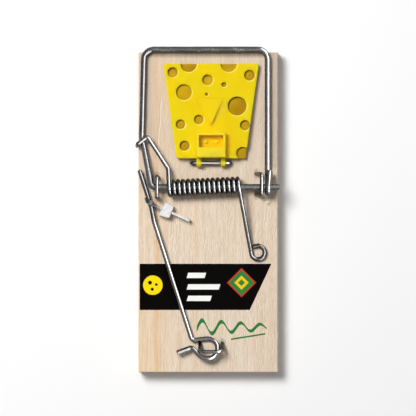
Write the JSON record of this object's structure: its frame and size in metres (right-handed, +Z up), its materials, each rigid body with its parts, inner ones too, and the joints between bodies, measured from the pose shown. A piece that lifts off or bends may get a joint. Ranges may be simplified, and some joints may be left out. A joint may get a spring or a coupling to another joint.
{
  "type": "snap mouse trap",
  "caption": "Flat wooden snap trap with a sprung wire hammer turning in staples, a hinged bait pedal and a swinging wire locking bar.",
  "frame": {"origin": "centre of the board's underside, which lies on the floor", "axes": "+Z up, +Y along the board towards the bait end where the snapped hammer lies, +X along the axle towards its free end"},
  "size_m": [0.0458, 0.1037, 0.0124],
  "materials": {
    "board_wood": "bare sanded pale wood",
    "hammer_wire": "drawn bright wire",
    "spring_wire": "drawn spring wire",
    "staple_wire": "drawn bright wire",
    "pedal_plastic": "satin moulded yellow",
    "tie_plastic": "natural white nylon"
  },
  "bodies": {
    "root": {"base_board": "board_wood", "torsion_spring": "spring_wire", "left_axle_staple": "staple_wire", "right_axle_staple": "staple_wire", "pedal_hinge_staple": "staple_wire", "bar_staple": "staple_wire"},
    "hammer": {"wire_hammer": "hammer_wire"},
    "pedal": {"bait_pedal": "pedal_plastic"},
    "bar": {"locking_bar": "hammer_wire", "cable_tie": "tie_plastic"}
  },
  "joints": [
    {"name": "hammer_swing", "type": "hinge", "parent": "root", "child": "hammer", "pos_m": [0, 0.008, 0.00945], "axis": [1, 0, 0], "range_deg": [0, 171], "stiffness_Nm_per_rad": 0.19, "springref_deg": -14.32, "deforming": ["torsion_spring"]},
    {"name": "pedal_tilt", "type": "hinge", "parent": "root", "child": "pedal", "pos_m": [0.0009, 0.0156, 0.0082], "axis": [1, 0, 0], "range_deg": [0, 85]},
    {"name": "bar_lift", "type": "hinge", "parent": "root", "child": "bar", "pos_m": [0.00095, -0.0442, 0.009], "axis": [1, 0, 0], "range_deg": [0, 60]}
  ]
}
